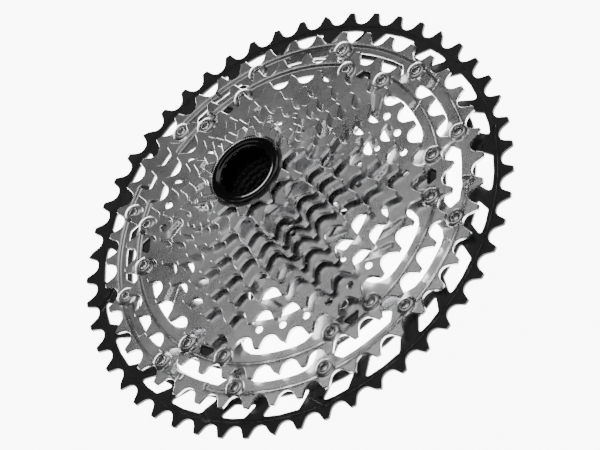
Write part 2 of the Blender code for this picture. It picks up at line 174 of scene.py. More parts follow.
def root_radius(teeth):
    return pitch_radius(teeth) - VALLEY_RADIUS


def rounded(points, radius, steps=4):
    """Replaces each corner of a polygon by an arc of about that radius."""
    points = np.asarray(points, float)
    out = []
    for i in range(len(points)):
        before, corner, after = points[i - 1], points[i], points[(i + 1) % len(points)]
        u, v = before - corner, after - corner
        lu, lv = np.linalg.norm(u), np.linalg.norm(v)
        u, v = u / lu, v / lv
        half = 0.5 * math.acos(float(np.clip(u @ v, -1.0, 1.0)))
        cut = min(radius / math.tan(half), 0.45 * lu, 0.45 * lv)
        start, end = corner + u * cut, corner + v * cut
        for t in np.linspace(0.0, 1.0, steps + 1):
            out.append((1 - t) ** 2 * start + 2 * t * (1 - t) * corner + t ** 2 * end)
    return np.array(out)


def dense(points, spacing):
    """The same closed loop with a point at least every spacing."""
    points = np.asarray(points, float)
    out = []
    for a, b in zip(points, np.roll(points, -1, axis=0)):
        count = max(1, int(math.ceil(np.linalg.norm(b - a) / spacing)))
        out += [a + (b - a) * k / count for k in range(count)]
    return np.array(out)


def signed_area(loop):
    x, y = loop[:, 0], loop[:, 1]
    return 0.5 * float(np.sum(x * np.roll(y, -1) - y * np.roll(x, -1)))


def turned_to(loop, anticlockwise):
    return loop if (signed_area(loop) > 0) == anticlockwise else loop[::-1]


def inset(loop, distance):
    """Moves a loop to its left, into the material, with mitred corners."""
    before = loop - np.roll(loop, 1, axis=0)
    after = np.roll(loop, -1, axis=0) - loop
    normals = []
    for edge in (before, after):
        edge = edge / np.maximum(np.linalg.norm(edge, axis=1, keepdims=True), 1e-9)
        normals.append(np.stack([-edge[:, 1], edge[:, 0]], axis=1))
    middle = normals[0] + normals[1]
    middle /= np.maximum(np.linalg.norm(middle, axis=1, keepdims=True), 1e-9)
    stretch = 1.0 / np.maximum(np.sum(middle * normals[0], axis=1), 0.6)
    return loop + middle * (distance * stretch)[:, None]


def inside(points, loop):
    """Even-odd test of many points against one loop."""
    x, y = points[:, 0:1], points[:, 1:2]
    ax, ay = loop[:, 0][None], loop[:, 1][None]
    bx, by = np.roll(loop[:, 0], -1)[None], np.roll(loop[:, 1], -1)[None]
    crosses = (ay > y) != (by > y)
    slope = np.where(by == ay, 1e-12, by - ay)
    return (np.sum(crosses & (x < (bx - ax) * (y - ay) / slope + ax), axis=1) % 2) == 1


def distance_to(points, loop):
    """Distance from many points to one closed loop."""
    best = np.full(len(points), 1e9)
    for a, b in zip(loop, np.roll(loop, -1, axis=0)):
        edge = b - a
        t = np.clip(((points - a) @ edge) / max(edge @ edge, 1e-12), 0.0, 1.0)
        best = np.minimum(best, np.linalg.norm(points - a - t[:, None] * edge, axis=1))
    return best


def smooth(t):
    t = np.clip(t, 0.0, 1.0)
    return t * t * (3.0 - 2.0 * t)


# ------------------------------------------------------------------ tooth outline


def tooth_outline(teeth, cut_teeth=()):
    """Rounded roller valleys and concave flanks; a cut tooth is lower and slants to one side."""
    radius = pitch_radius(teeth)
    step = 360.0 / teeth
    sweep = np.radians(np.linspace(-VALLEY_HALF_ANGLE, VALLEY_HALF_ANGLE, 13))
    points = []
    for i in range(teeth):
        middle = TOOTH_PHASE[teeth] + step * i
        cut = i in cut_teeth
        tip = radius + TIP_RISE
        half = math.degrees(TIP_HALF_WIDTH / tip)
        right = tip - (CUT_TOOTH_DROP if cut else 0.0)
        points += [polar(right - drop, middle - share * half) for drop, share in TIP_CORNERS]
        points += [polar(tip - drop, middle + share * half) for drop, share in reversed(TIP_CORNERS)]
        valley = middle + step / 2.0
        centre = polar(radius, valley)
        out = np.radians(valley + 180.0)
        for angle in sweep:
            points.append(centre + VALLEY_RADIUS * np.array([math.cos(out - angle),
                                                             math.sin(out - angle)]))
    return np.array(points)


# ------------------------------------------------------------------ relief plates


class Relief:
    """The stamped shape of a plate's front: how far each point lies below the top."""

    def __init__(self):
        self.parts = []
        self.samples = []
        self.bosses = []

    def ring(self, radius, depth, width=0.45, gates=()):
        """Everything inside the radius lies lower, except at the gates: (azimuth, half width)."""
        def lower(points):
            r = np.linalg.norm(points, axis=1)
            azimuth = np.degrees(np.arctan2(points[:, 1], points[:, 0]))
            keep = np.ones(len(points))
            for middle, half in gates:
                off = np.abs((azimuth - middle + 180.0) % 360.0 - 180.0)
                keep *= smooth((off - half) * math.radians(1.0) * r / 1.2 + 0.5)
            return depth * smooth((radius - r) / width + 0.5) * keep
        self.parts.append(lower)
        azimuths = np.arange(0.0, 360.0, math.degrees(0.8 / radius))
        for offset in (-0.5, -0.3, -0.1, 0.1, 0.3, 0.5):
            self.samples.append(polar(radius + offset * width, azimuths))
        for middle, half in gates:
            radii = np.arange(radius - 8.0, radius, 0.7)
            for side in (-half, half):
                for shift in (-0.7, 0.0, 0.7):
                    turn = np.degrees(shift / radii)
                    self.samples.append(polar(radii, middle + side + turn))
        return self

    def pocket(self, loop, depth, width=0.4):
        """A stamped pocket; the width is that of its sloping edge."""
        loop = turned_to(dense(loop, 0.7), True)
        centre = loop.mean(axis=0)
        reach = np.linalg.norm(loop - centre, axis=1).max() + 1.0

        def lower(points):
            result = np.zeros(len(points))
            near = np.linalg.norm(points - centre, axis=1) < reach
            if near.any():
                some = points[near]
                side = np.where(inside(some, loop), 1.0, -1.0)
                result[near] = depth * smooth(side * distance_to(some, loop) / width + 0.5)
            return result
        self.parts.append(lower)
        for offset in (-0.55 * width, 0.55 * width):
            self.samples.append(inset(loop, offset))
        return self

    def cone(self, start, end, slope):
        """A conical face that falls at the slope on its way from one radius to the other."""
        def lower(points):
            way = (np.linalg.norm(points, axis=1) - start) * math.copysign(1.0, end - start)
            return slope * np.clip(way, 0.0, abs(end - start))
        self.parts.append(lower)
        for share in (-0.12, 0.0, 0.12, 0.88, 1.0):
            self.samples.append(circle(start + share * (end - start), 120))
        return self

    def boss(self, centre):
        """A raised ring pressed up round a rivet."""
        self.bosses.append(centre)
        for radius in BOSS_RADII:
            self.samples.append(circle(radius, 30, centre))
        return self

    def depth(self, points):
        """How far the stamped front lies below the plate's top; bosses stand above it."""
        total = np.zeros(len(points))
        for part in self.parts:
            total += part(points)
        for centre in self.bosses:
            r = np.linalg.norm(points - centre, axis=1)
            ring = np.interp(r, BOSS_RADII, BOSS_DEPTHS)
            outer = np.where(r > BOSS_FOOT, total, np.minimum(total, ring))
            total = np.where(r < BOSS_CREST, ring, outer)
        return total


def keep_clear(points, loops, gap):
    """The points that lie in the material and are at least the gap from its edges."""
    cell = 2.0 * gap
    edge_points = np.concatenate([dense(loop, gap) for loop in loops])
    buckets = {}
    for p in edge_points:
        buckets.setdefault((int(p[0] // cell), int(p[1] // cell)), []).append(p)
    kept = []
    for p in points:
        i, j = int(p[0] // cell), int(p[1] // cell)
        close = False
        for di in (-1, 0, 1):
            for dj in (-1, 0, 1):
                for q in buckets.get((i + di, j + dj), ()):
                    if (p[0] - q[0]) ** 2 + (p[1] - q[1]) ** 2 < gap * gap:
                        close = True
        if not close:
            kept.append(p)
    kept = np.array(kept) if kept else np.zeros((0, 2))
    return kept[in_material(kept, loops)] if len(kept) else kept


def in_material(points, loops):
    result = inside(points, loops[0])
    for loop in loops[1:]:
        result &= ~inside(points, loop)
    return result


def triangulate(loops, samples):
    """Triangles between an outline and its holes, through the sample points as well."""
    vertices = [Vector(map(float, p)) for loop in loops for p in loop]
    edges, first = [], 0
    for loop in loops:
        count = len(loop)
        edges += [(first + i, first + (i + 1) % count) for i in range(count)]
        first += count
    vertices += [Vector(map(float, p)) for p in samples]
    points, _, faces, origins, _, _ = delaunay_2d_cdt(vertices, edges, [], 1, 1e-6)
    points = np.array([tuple(p) for p in points])
    faces = np.array([tuple(face) for face in faces])
    middles = points[faces].mean(axis=1)
    faces = faces[in_material(middles, loops)]
    return points, faces, origins


def polar_samples(inner, outer, spacing):
    samples = []
    radius, odd = inner, False
    while radius < outer:
        count = int(2 * math.pi * radius / spacing)
        turn = 180.0 / count if odd else 0.0
        samples.append(polar(radius, np.arange(count) * 360.0 / count + turn))
        radius, odd = radius + 0.87 * spacing, not odd
    return np.concatenate(samples)


def relief_plate(name, outline, holes, low, high, relief=None, spacing=1.3, chamfer=CHAMFER):
    """A chamfered plate with a flat back and a stamped front."""
    relief = relief or Relief()
    loops = [turned_to(np.asarray(outline), True)]
    loops += [turned_to(np.asarray(hole), False) for hole in holes]
    top_loops = [inset(loop, chamfer) for loop in loops]
    radii = np.linalg.norm(loops[0], axis=1)
    inner = min([np.linalg.norm(loop, axis=1).min() for loop in loops[1:]] or [0.5])
    grid = polar_samples(inner + 0.3, radii.max(), spacing)
    for centre in relief.bosses:
        grid = grid[np.linalg.norm(grid - centre, axis=1) > BOSS_FOOT + 0.3]
    samples = keep_clear(np.concatenate([grid] + relief.samples), top_loops, gap=0.3)
    points, faces, origins = triangulate(top_loops, samples)
    depth = relief.depth(points)

    vertices = [(x, y, high - d) for (x, y), d in zip(points, depth)]
    polygons = [tuple(face) for face in faces]
    place = {source: i for i, sources in enumerate(origins) for source in sources}

    back, back_faces, back_origins = triangulate(top_loops, np.zeros((0, 2)))
    base = len(vertices)
    vertices += [(x, y, low) for x, y in back]
    polygons += [tuple(base + i for i in face[::-1]) for face in back_faces]
    back_place = {source: base + i for i, sources in enumerate(back_origins)
                  for source in sources}

    first = 0
    for loop in loops:
        count = len(loop)
        edge_depth = relief.depth(loop)
        upper = len(vertices)
        vertices += [(x, y, high - d - chamfer) for (x, y), d in zip(loop, edge_depth)]
        lower = len(vertices)
        vertices += [(x, y, low + chamfer) for x, y in loop]
        for i in range(count):
            j = (i + 1) % count
            a, b = place[first + i], place[first + j]
            c, d = back_place[first + i], back_place[first + j]
            polygons.append((a, upper + i, upper + j, b))
            polygons.append((upper + i, lower + i, lower + j, upper + j))
            polygons.append((lower + i, c, d, lower + j))
        first += count
    return mesh_object(name, vertices, polygons)


def mesh_object(name, vertices, polygons, angle=32.0):
    mesh = bpy.data.meshes.new(name)
    mesh.from_pydata([(x * MM, y * MM, z * MM) for x, y, z in vertices], [], polygons)
    mesh.validate()
    mesh.update()
    mesh.shade_smooth()
    mesh.set_sharp_from_angle(angle=math.radians(angle))
    obj = bpy.data.objects.new(name, mesh)
    bpy.context.scene.collection.objects.link(obj)
    return obj


# ------------------------------------------------------------------ turned pieces


def turned(name, profile, sides, centre=(0.0, 0.0)):
    """A closed ring or knob turned from (radius, height) points."""
    vertices, rings, polygons = [], [], []
    for radius, height in profile:
        if radius == 0.0:
            rings.append([len(vertices)])
            vertices.append((centre[0], centre[1], height))
            continue
        rings.append(list(range(len(vertices), len(vertices) + sides)))
        for i in range(sides):
            x, y = polar(radius, 360.0 * i / sides)
            vertices.append((centre[0] + x, centre[1] + y, height))
    closed_ring = profile[0][0] > 0.0
    pairs = list(zip(rings, rings[1:])) + ([(rings[-1], rings[0])] if closed_ring else [])
    for lower, upper in pairs:
        for i in range(sides):
            j = (i + 1) % sides
            corners = [lower[i % len(lower)], lower[j % len(lower)],
                       upper[j % len(upper)], upper[i % len(upper)]]
            polygons.append(tuple(dict.fromkeys(corners)))
    return mesh_object(name, vertices, polygons)


# ------------------------------------------------------------------ materials


def node(tree, kind, **values):
    """A new shader node with its inputs or settings filled in."""
    made = tree.nodes.new(kind)
    for key, value in values.items():
        if key in made.inputs:
            made.inputs[key].default_value = value
        else:
            setattr(made, key, value)
    return made


def round_axle(tree, place):
    """Coordinates in which a noise is drawn out along circles round the axle."""
    link = tree.links.new
    split = node(tree, "ShaderNodeSeparateXYZ")
    link(place.outputs["Object"], split.inputs[0])
    total = node(tree, "ShaderNodeMath", operation="ADD")
    for i, axis in enumerate("XY"):
        square = node(tree, "ShaderNodeMath", operation="MULTIPLY")
        link(split.outputs[axis], square.inputs[0])
        link(split.outputs[axis], square.inputs[1])
        link(square.outputs[0], total.inputs[i])
    radius = node(tree, "ShaderNodeMath", operation="SQRT")
    link(total.outputs[0], radius.inputs[0])
    angle = node(tree, "ShaderNodeMath", operation="ARCTAN2")
    link(split.outputs["Y"], angle.inputs[0])
    link(split.outputs["X"], angle.inputs[1])
    stretched = node(tree, "ShaderNodeMath", operation="MULTIPLY")
    stretched.inputs[1].default_value = GRAIN_STRETCH
    link(angle.outputs[0], stretched.inputs[0])
    joined = node(tree, "ShaderNodeCombineXYZ")
    link(radius.outputs[0], joined.inputs["X"])
    link(stretched.outputs[0], joined.inputs["Y"])
    link(split.outputs["Z"], joined.inputs["Z"])
    return joined.outputs[0]


def noise(tree, vector, scale, detail, roughness):
    """The output of a noise texture that reads the vector."""
    made = node(tree, "ShaderNodeTexNoise", Scale=scale, Detail=detail, Roughness=roughness)
    tree.links.new(vector, made.inputs["Vector"])
    return made.outputs[0]


def brushed(name, dark, light, rough, metallic, grain=0.12, dent=0.01):
    """Metal with cloudy tone, fine grain that runs round the axle and a little handling wear."""
    material = bpy.data.materials.new(name)
    material.use_nodes = True
    tree = material.node_tree
    link = tree.links.new
    shader = tree.nodes["Principled BSDF"]
    shader.inputs["Metallic"].default_value = metallic
    place = node(tree, "ShaderNodeTexCoord")
    streaks = noise(tree, round_axle(tree, place), GRAIN_SCALE, 3.0, 0.6)
    clouds = noise(tree, place.outputs["Object"], CLOUD_SCALE, 4.0, 0.6)
    pits = noise(tree, place.outputs["Object"], PIT_SCALE, 2.0, 0.5)
    dents = noise(tree, place.outputs["Object"], DENT_SCALE, 1.0, 0.4)

    blend = node(tree, "ShaderNodeMix", data_type="FLOAT")
    blend.inputs[0].default_value = 0.45
    link(clouds, blend.inputs[2])
    link(streaks, blend.inputs[3])
    tone = node(tree, "ShaderNodeValToRGB")
    for end, position, colour in zip(tone.color_ramp.elements, (0.3, 0.72), (dark, light)):
        end.position = position
        end.color = (*colour, 1.0)
    link(blend.outputs[0], tone.inputs[0])
    link(tone.outputs[0], shader.inputs["Base Color"])

    spread = node(tree, "ShaderNodeMapRange")
    spread.inputs["To Min"].default_value = rough * 0.8
    spread.inputs["To Max"].default_value = rough * 1.25
    link(clouds, spread.inputs["Value"])
    link(spread.outputs[0], shader.inputs["Roughness"])

    waves = node(tree, "ShaderNodeBump", Strength=dent, Distance=0.002)
    link(dents, waves.inputs["Height"])
    height = node(tree, "ShaderNodeMath", operation="ADD")
    link(streaks, height.inputs[0])
    link(pits, height.inputs[1])
    bump = node(tree, "ShaderNodeBump", Strength=grain, Distance=0.00012)
    link(height.outputs[0], bump.inputs["Height"])
    link(waves.outputs[0], bump.inputs["Normal"])
    link(bump.outputs[0], shader.inputs["Normal"])
    return material


def grey(value):
    """A grey with a trace of blue."""
    return (value, value, value * 1.01)


def dress(piece, material, body, slot_name, *nodes, bore=None):
    """Material, body and slot of a piece; bore is a dark material put on its splines as painted
    shade.
    """
    piece.data.materials.clear()
    piece.data.materials.append(material)
    # The faces round the axle take the bore material: painted shade, as the real splines are plated
    # steel.
    if bore:
        piece.data.materials.append(bore)
        for polygon in piece.data.polygons:
            if Vector(polygon.center).xy.length < BORE_LIMIT * MM:
                polygon.material_index = 1
    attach(piece, body)
    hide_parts(*nodes)
    return piece


# ------------------------------------------------------------------ sprocket details


def heights(node_name):
    """The bottom and top of a CAD node, in millimetres."""
    low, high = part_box(node_name)
    return low[2] / MM, high[2] / MM


def slanted_window(start, end, low, high, slant=4.0, corner=1.6):
    """A window between two radii, whose inner side is turned on by the slant."""
    middle = 0.5 * (start + end)
    loop = [polar(high, start), polar(high + 0.25, middle), polar(high, end),
            polar(low, end + slant), polar(low + 0.2, middle + slant), polar(low, start + slant)]
    return dense(rounded(loop, corner), EDGE_SPACING)


def ring_window(middle, half, low, high, corner, fillet=1.2):
    """A window between two radii, whose ends come to a rounded point halfway between them."""
    waist = 0.5 * (low + high)
    loop = arc(high, middle - half + corner, middle + half - corner, 5)
    loop += [polar(waist, middle + half)]
    loop += arc(low, middle + half - corner, middle - half + corner, 5)
    loop += [polar(waist, middle - half)]
    return dense(rounded(loop, fillet), EDGE_SPACING)


def domed_edge(arm_radius, dome_radius, half):
    """The inner edge of a ring with arms that reach inwards between six domes."""
    loop = []
    rise = dome_radius - arm_radius
    shape = [(0.0, 1.10), (0.25, 1.05), (0.55, 0.98), (0.82, 0.84), (0.96, 0.66)]
    for middle in DOMES:
        loop += [polar(arm_radius + rise * t, middle - half * w) for t, w in shape]
        loop += arc(dome_radius, middle - 0.45 * half, middle + 0.45 * half, 5)
        loop += [polar(arm_radius + rise * t, middle + half * w) for t, w in reversed(shape)]
        loop += arc(arm_radius, middle + 1.2 * half, middle + 60.0 - 1.2 * half, 4)
    return dense(rounded(loop, 1.5, 3), EDGE_SPACING)


def shift_ramp(teeth, azimuth, width, length, lean):
    """A stamped ramp that runs inwards from a valley and leans clockwise."""
    radius = root_radius(teeth) - 0.4
    turn = math.degrees(1.0 / radius)
    loop = [polar(radius + 1.6, azimuth + 0.5 * width * turn),
            polar(radius - length, azimuth + (0.5 * width - lean) * turn),
            polar(radius - length - 0.6, azimuth - (0.35 * width + lean) * turn),
            polar(radius + 1.6, azimuth - 0.5 * width * turn)]
    return rounded(loop, 1.0)


def drilled(radius, azimuths, circle_radius):
    """Small round holes on a circle about the axle."""
    return [circle(radius, 16, polar(circle_radius, azimuth)) for azimuth in azimuths]


# ------------------------------------------------------------------ sprockets


def build_51(material):
    low, high = heights("sprocket_51")
    holes = []
    for k in range(12):
        turn = 30.0 * k
        holes.append(slanted_window(8.0 + turn, 19.0 + turn, low=86.9, high=95.4))
        holes.append(slanted_window(-4.5 + turn, 3.0 + turn, low=88.9, high=95.4, slant=3.4))
    holes += drilled(RIVET_HOLE, OUTER_RIVETS, OUTER_CIRCLE)
    bore, lug = 81.5, 79.5
    edge = []
    for azimuth in OUTER_RIVETS:
        edge += [polar(bore, azimuth - 4.4), polar(lug, azimuth - 2.4),
                 polar(lug, azimuth + 2.4), polar(bore, azimuth + 4.4)]
        edge += arc(bore, azimuth + 7.0, azimuth + 23.0, 5)
    holes.append(dense(rounded(edge, 1.5), EDGE_SPACING))
    relief = Relief().ring(97.7, depth=0.22, width=0.5)
    groove_inner, groove_outer = 91.0, 98.6
    for azimuth in (-64.0, 26.0, 116.0, 206.0, 261.0):
        loop = [polar(groove_outer, azimuth + 2.5), polar(groove_inner, azimuth - 2.6),
                polar(groove_inner, azimuth - 4.2), polar(groove_outer, azimuth + 0.2)]
        relief.pocket(rounded(loop, 0.6), depth=0.3)
    outline = tooth_outline(51, cut_teeth=(5, 9, 14, 22, 27, 33, 40, 44))
    piece = relief_plate("sprocket_51_ring", outline, holes, low, high, relief, spacing=1.6)
    dress(piece, material, "riveted_unit", "black_aluminium", "sprocket_51")


def build_45(material):
    low, high = heights("sprocket_45")
    holes = drilled(RIVET_HOLE, OUTER_RIVETS, OUTER_CIRCLE)
    holes += drilled(RIVET_HOLE, INNER_RIVETS, INNER_CIRCLE)
    holes += [ring_window(arm, half=11.2, low=75.3, high=82.4, corner=2.6) for arm in ARMS]
    holes.append(domed_edge(arm_radius=67.3, dome_radius=80.4, half=13.4))
    gates = ((19.5, 7.0), (161.0, 9.0), (254.0, 5.0))
    relief = Relief().ring(85.6, STEP_DEPTH, STEP_WIDTH, gates)
    for azimuth in (101.0, 218.0, 345.0):
        loop = arc(84.6, azimuth - 7.0, azimuth + 7.0, 6)
        loop += arc(80.9, azimuth + 7.6, azimuth - 7.6, 6)
        relief.pocket(rounded(loop, 1.2), depth=0.3)
    for azimuth in (11.5, 52.0, 135.0, 247.0):
        ramp = shift_ramp(45, azimuth, width=4.0, length=5.5, lean=3.0)
        relief.pocket(ramp, depth=0.4, width=0.8)
    for azimuth in OUTER_RIVETS:
        relief.boss(polar(OUTER_CIRCLE, azimuth))
    outline = tooth_outline(45, cut_teeth=(3, 12, 19, 27, 38))
    piece = relief_plate("sprocket_45_ring", outline, holes, low, high, relief)
    dress(piece, material, "riveted_unit", "nickel_steel", "sprocket_45")


def build_39(material):
    low, high = heights("sprocket_39")
    holes = drilled(RIVET_HOLE, INNER_RIVETS, INNER_CIRCLE)
    holes += drilled(RIVET_HOLE, ARMS, ARM_CIRCLE)
    top, corner, foot = 72.4, 69.3, 68.6
    for arm in ARMS:
        eye = [polar(top, arm - 1.6), polar(top, arm + 1.6),
               polar(corner, arm + 3.4), polar(foot, arm + 2.4),
               polar(foot, arm - 2.4), polar(corner, arm - 3.4)]
        holes.append(dense(rounded(eye, 0.9), 1.0))
    holes.append(domed_edge(arm_radius=56.3, dome_radius=69.0, half=16.6))
    gates = ((14.0, 6.0), (74.0, 7.0), (166.0, 10.0))
    relief = Relief().ring(73.6, STEP_DEPTH, STEP_WIDTH, gates)
    for azimuth in (5.0, 48.0, 140.0, 203.0, 246.0):
        ramp = shift_ramp(39, azimuth, width=4.0, length=5.0, lean=3.0)
        relief.pocket(ramp, depth=0.4, width=0.8)
    for azimuth in INNER_RIVETS:
        relief.boss(polar(INNER_CIRCLE, azimuth))
    outline = tooth_outline(39, cut_teeth=(1, 6, 15, 22, 30))
    piece = relief_plate("sprocket_39_ring", outline, holes, low, high, relief)
    dress(piece, material, "riveted_unit", "nickel_steel", "sprocket_39")


def build_33(material):
    low, high = heights("sprocket_33")
    tooth = 360.0 / 33.0
    drilled_teeth = (-8, -7, -6, -5, -4, -3, 1, 2, 3, 4, 13, 14, 15, 16, 17)
    in_line = [TOOTH_PHASE[33] + tooth * k for k in drilled_teeth]
    holes = drilled(1.7, in_line, circle_radius=59.6)
    holes += drilled(RIVET_HOLE, ARMS, HUB_CIRCLE)
    holes.append(domed_edge(arm_radius=44.5, dome_radius=55.2, half=18.6))
    relief = Relief()
    for azimuth, lean in ((-18.0, 9.0), (-7.0, 9.0), (60.0, 8.0), (228.0, 8.0)):
        ramp = shift_ramp(33, azimuth, width=6.0, length=6.5, lean=lean)
        relief.pocket(ramp, depth=0.5, width=1.0)
    outline = tooth_outline(33, cut_teeth=(2, 9, 18, 26))
    piece = relief_plate("sprocket_33_ring", outline, holes, low, high, relief, spacing=1.2)
    dress(piece, material, "riveted_unit", "nickel_steel", "sprocket_33")


def spline_loop():
    """The splined bore: shallow pointed keys between wider grooves."""
    step = 360.0 / SPLINE_COUNT
    loop = []
    for i in range(SPLINE_COUNT):
        start = step * i - 0.22 * step
        loop += [polar(SPLINE_ROOT, start), polar(SPLINE_ROOT, start + 0.42 * step),
                 polar(SPLINE_CREST, start + 0.56 * step), polar(SPLINE_CREST, start + 0.88 * step)]
    return np.array(loop)


# teeth: (body, ramps as (azimuth, width, length, lean), (holes' circle, azimuths), cut teeth)
LOOSE = {
    28: ("sprocket_stack",
         ((18.0, 5.0, 7.5, 12.0), (118.0, 5.0, 7.0, 10.0), (198.0, 5.0, 7.0, 10.0),
          (-72.0, 5.0, 6.5, 9.0)),
         (49.8, (-33.0, 32.0, 150.0)), (4, 12, 20)),
    24: ("sprocket_stack",
         ((38.0, 5.0, 7.0, 10.0), (158.0, 5.0, 7.0, 10.0), (-82.0, 5.0, 7.0, 10.0),
          (-22.0, 4.5, 6.0, 8.0)),
         (41.7, (9.0, 24.0, -51.0)), (3, 11, 18)),
    21: ("sprocket_stack",
         ((62.0, 5.0, 6.5, 9.0), (180.0, 5.0, 6.5, 9.0), (-50.0, 5.0, 6.0, 9.0)),
         (35.6, (-8.0, 100.0)), (2, 9, 16)),
    18: ("sprocket_stack",
         ((30.0, 4.5, 5.5, 7.0), (150.0, 4.5, 5.5, 7.0), (-78.0, 4.5, 5.5, 7.0)),
         (29.8, (-45.0, 70.0)), (1, 7, 13)),
    16: ("sprocket_stack",
         ((48.0, 4.0, 5.0, 6.0), (-36.0, 4.0, 5.0, 6.0), (200.0, 4.0, 5.0, 6.0)),
         (25.9, (-64.0,)), (2, 8, 12)),
    14: ("third_small_sprocket",
         ((-20.0, 4.0, 4.0, 5.0), (110.0, 4.0, 4.0, 5.0), (230.0, 4.0, 4.0, 5.0)),
         (21.9, (-71.0,)), (1, 6, 10)),
}

# teeth: the windows' half angle, inner radius and outer radius
LOOSE_WINDOWS = {28: (14.2, 31.5, 47.3), 24: (13.2, 28.5, 39.5)}


def build_loose(teeth, material, bore_shade_material):
    body, ramps, (eye_circle, eyes), cut_teeth = LOOSE[teeth]
    name = f"sprocket_{teeth}"
    low, high = heights(name)
    holes = [spline_loop()] + drilled(1.25, eyes, eye_circle)
    if teeth in LOOSE_WINDOWS:
        half, inner, outer = LOOSE_WINDOWS[teeth]
        holes += [ring_window(dome - 2.0, half, inner, outer, corner=3.0, fillet=2.0)
                  for dome in DOMES]
    relief = Relief()
    relief.samples.append(circle(BORE_LIMIT + 0.2, 120))
    for azimuth, width, length, lean in ramps:
        relief.pocket(shift_ramp(teeth, azimuth, width, length, lean), depth=0.5, width=1.0)
    outline = tooth_outline(teeth, cut_teeth)
    piece = relief_plate(f"{name}_disc", outline, holes, low, high, relief)
    dress(piece, material, body, "nickel_steel", name, bore=bore_shade_material)


def build_collared(teeth, body, collar, bore, disc_bore, relief, material, bore_shade_material):
    """The two smallest sprockets: a toothed disc and the collar behind it, as one piece."""
    name = f"sprocket_{teeth}"
    low, high = heights(name)
    disc_low = high - COLLARED_DISC
    piece = relief_plate(f"{name}_disc", tooth_outline(teeth), [disc_bore], disc_low, high, relief,
                         spacing=1.1)
    dress(piece, material, body, "nickel_steel", name, bore=bore_shade_material)
    foot = relief_plate(f"{name}_collar", circle(collar, 96), [bore], low,
                        disc_low + COLLAR_OVERLAP)
    dress(foot, material, body, "nickel_steel", name, bore=bore_shade_material)


def build_12(material, bore_shade_material):
    relief = Relief()
    for azimuth in (-75.0, 60.0):
        ramp = shift_ramp(12, azimuth, width=3.0, length=3.0, lean=3.0)
        relief.pocket(ramp, depth=0.5)
    bore = spline_loop()
    build_collared(12, "second_small_sprocket", collar=19.6, bore=bore, disc_bore=bore,
                   relief=relief, material=material, bore_shade_material=bore_shade_material)


def build_10(material, bore_shade_material):
    build_collared(10, "smallest_sprocket", collar=16.2, bore=circle(13.6, 96),
                   disc_bore=circle(15.4, 96), relief=Relief(), material=material,
                   bore_shade_material=bore_shade_material)


# ------------------------------------------------------------------ rivets


def domed_rivet(name, azimuth, circle_radius, material, node_name):
    """A pressed rivet: a shank and a rounded head with a hollow middle."""
    foot, top = heights(node_name)
    in_boss = node_name.startswith(("outer", "inner"))
    head, drop, depth = BOSS_HEAD if in_boss else FLAT_HEAD
    crest = top - drop
    under = crest - depth
    hollow = head - HEAD_RIM
    profile = [(0.0, foot), (SHANK - 0.25, foot), (SHANK, foot + 0.2), (SHANK, under),
               (head - 0.2, under), (head, under + 0.15), (head, crest - 0.3),
               (head - 0.15, crest - 0.08), (head - 0.3, crest), (head - 0.5, crest - 0.1),
               (hollow, crest - 0.35), (hollow - 0.05, under - 0.7),
               (hollow - 0.3, under - 0.9), (0.0, under - 0.85)]
    piece = turned(name, profile, 32, polar(circle_radius, azimuth))
    dress(piece, material, "riveted_unit", "rivet_steel", node_name)


def build_rivets(material):
    groups = (("outer_rivet", OUTER_RIVETS, OUTER_CIRCLE),
              ("inner_rivet", INNER_RIVETS, INNER_CIRCLE),
              ("arm_rivet", ARMS, ARM_CIRCLE),
              ("hub_rivet", ARMS, HUB_CIRCLE))
    for name, azimuths, radius in groups:
        for i, azimuth in enumerate(azimuths, 1):
            node_name = f"{name}_{i:02d}"
            domed_rivet(f"{node_name}_dome", azimuth, radius, material, node_name)


# ------------------------------------------------------------------ lockring


def tool_socket():
    """The lockring's bore, with twelve keys for the tool."""
    loop = []
    for i in range(12):
        start = 30.0 * i
        loop += [polar(SOCKET_ROOT, start - 8.0), polar(SOCKET_ROOT, start + 8.0),
                 polar(SOCKET_CREST, start + 11.0), polar(SOCKET_CREST, start + 19.0)]
    return dense(rounded(loop, 0.3, 2), 0.8)


def notched_rim():
    """The flange's outline, finely notched for grip."""
    loop = []
    for i in range(NOTCHES):
        start = 360.0 * i / NOTCHES
        loop += [polar(NOTCH_CREST, start), polar(NOTCH_CREST, start + 1.4),
                 polar(NOTCH_ROOT, start + 1.8), polar(NOTCH_ROOT, start + 2.9)]
    return np.array(loop)


def build_lockring(material):
    low, high = heights("lockring")
    relief = Relief()
    relief.cone(start=13.9, end=12.45, slope=0.38)
    relief.cone(start=15.3, end=16.3, slope=0.33)
    sunk = high - 0.55
    rim = relief_plate("lockring_flange", notched_rim(), [circle(TUBE - 0.65, 120)],
                       high - FLANGE, high, relief, spacing=0.7, chamfer=0.12)
    tube = relief_plate("lockring_tube", circle(TUBE, 96), [tool_socket()], low, sunk,
                        spacing=0.9, chamfer=0.15)
    for piece in (rim, tube):
        dress(piece, material, "lockring", "lockring_black", "lockring")


def build_washer(material):
    low, high = heights("lockring_washer")
    outer, inner = 15.1, 13.3
    washer = relief_plate("washer_ring", circle(outer, 72), [circle(inner, 72)], low, high)
    dress(washer, material, "washer", "washer_steel", "lockring_washer")


# ------------------------------------------------------------------ studio


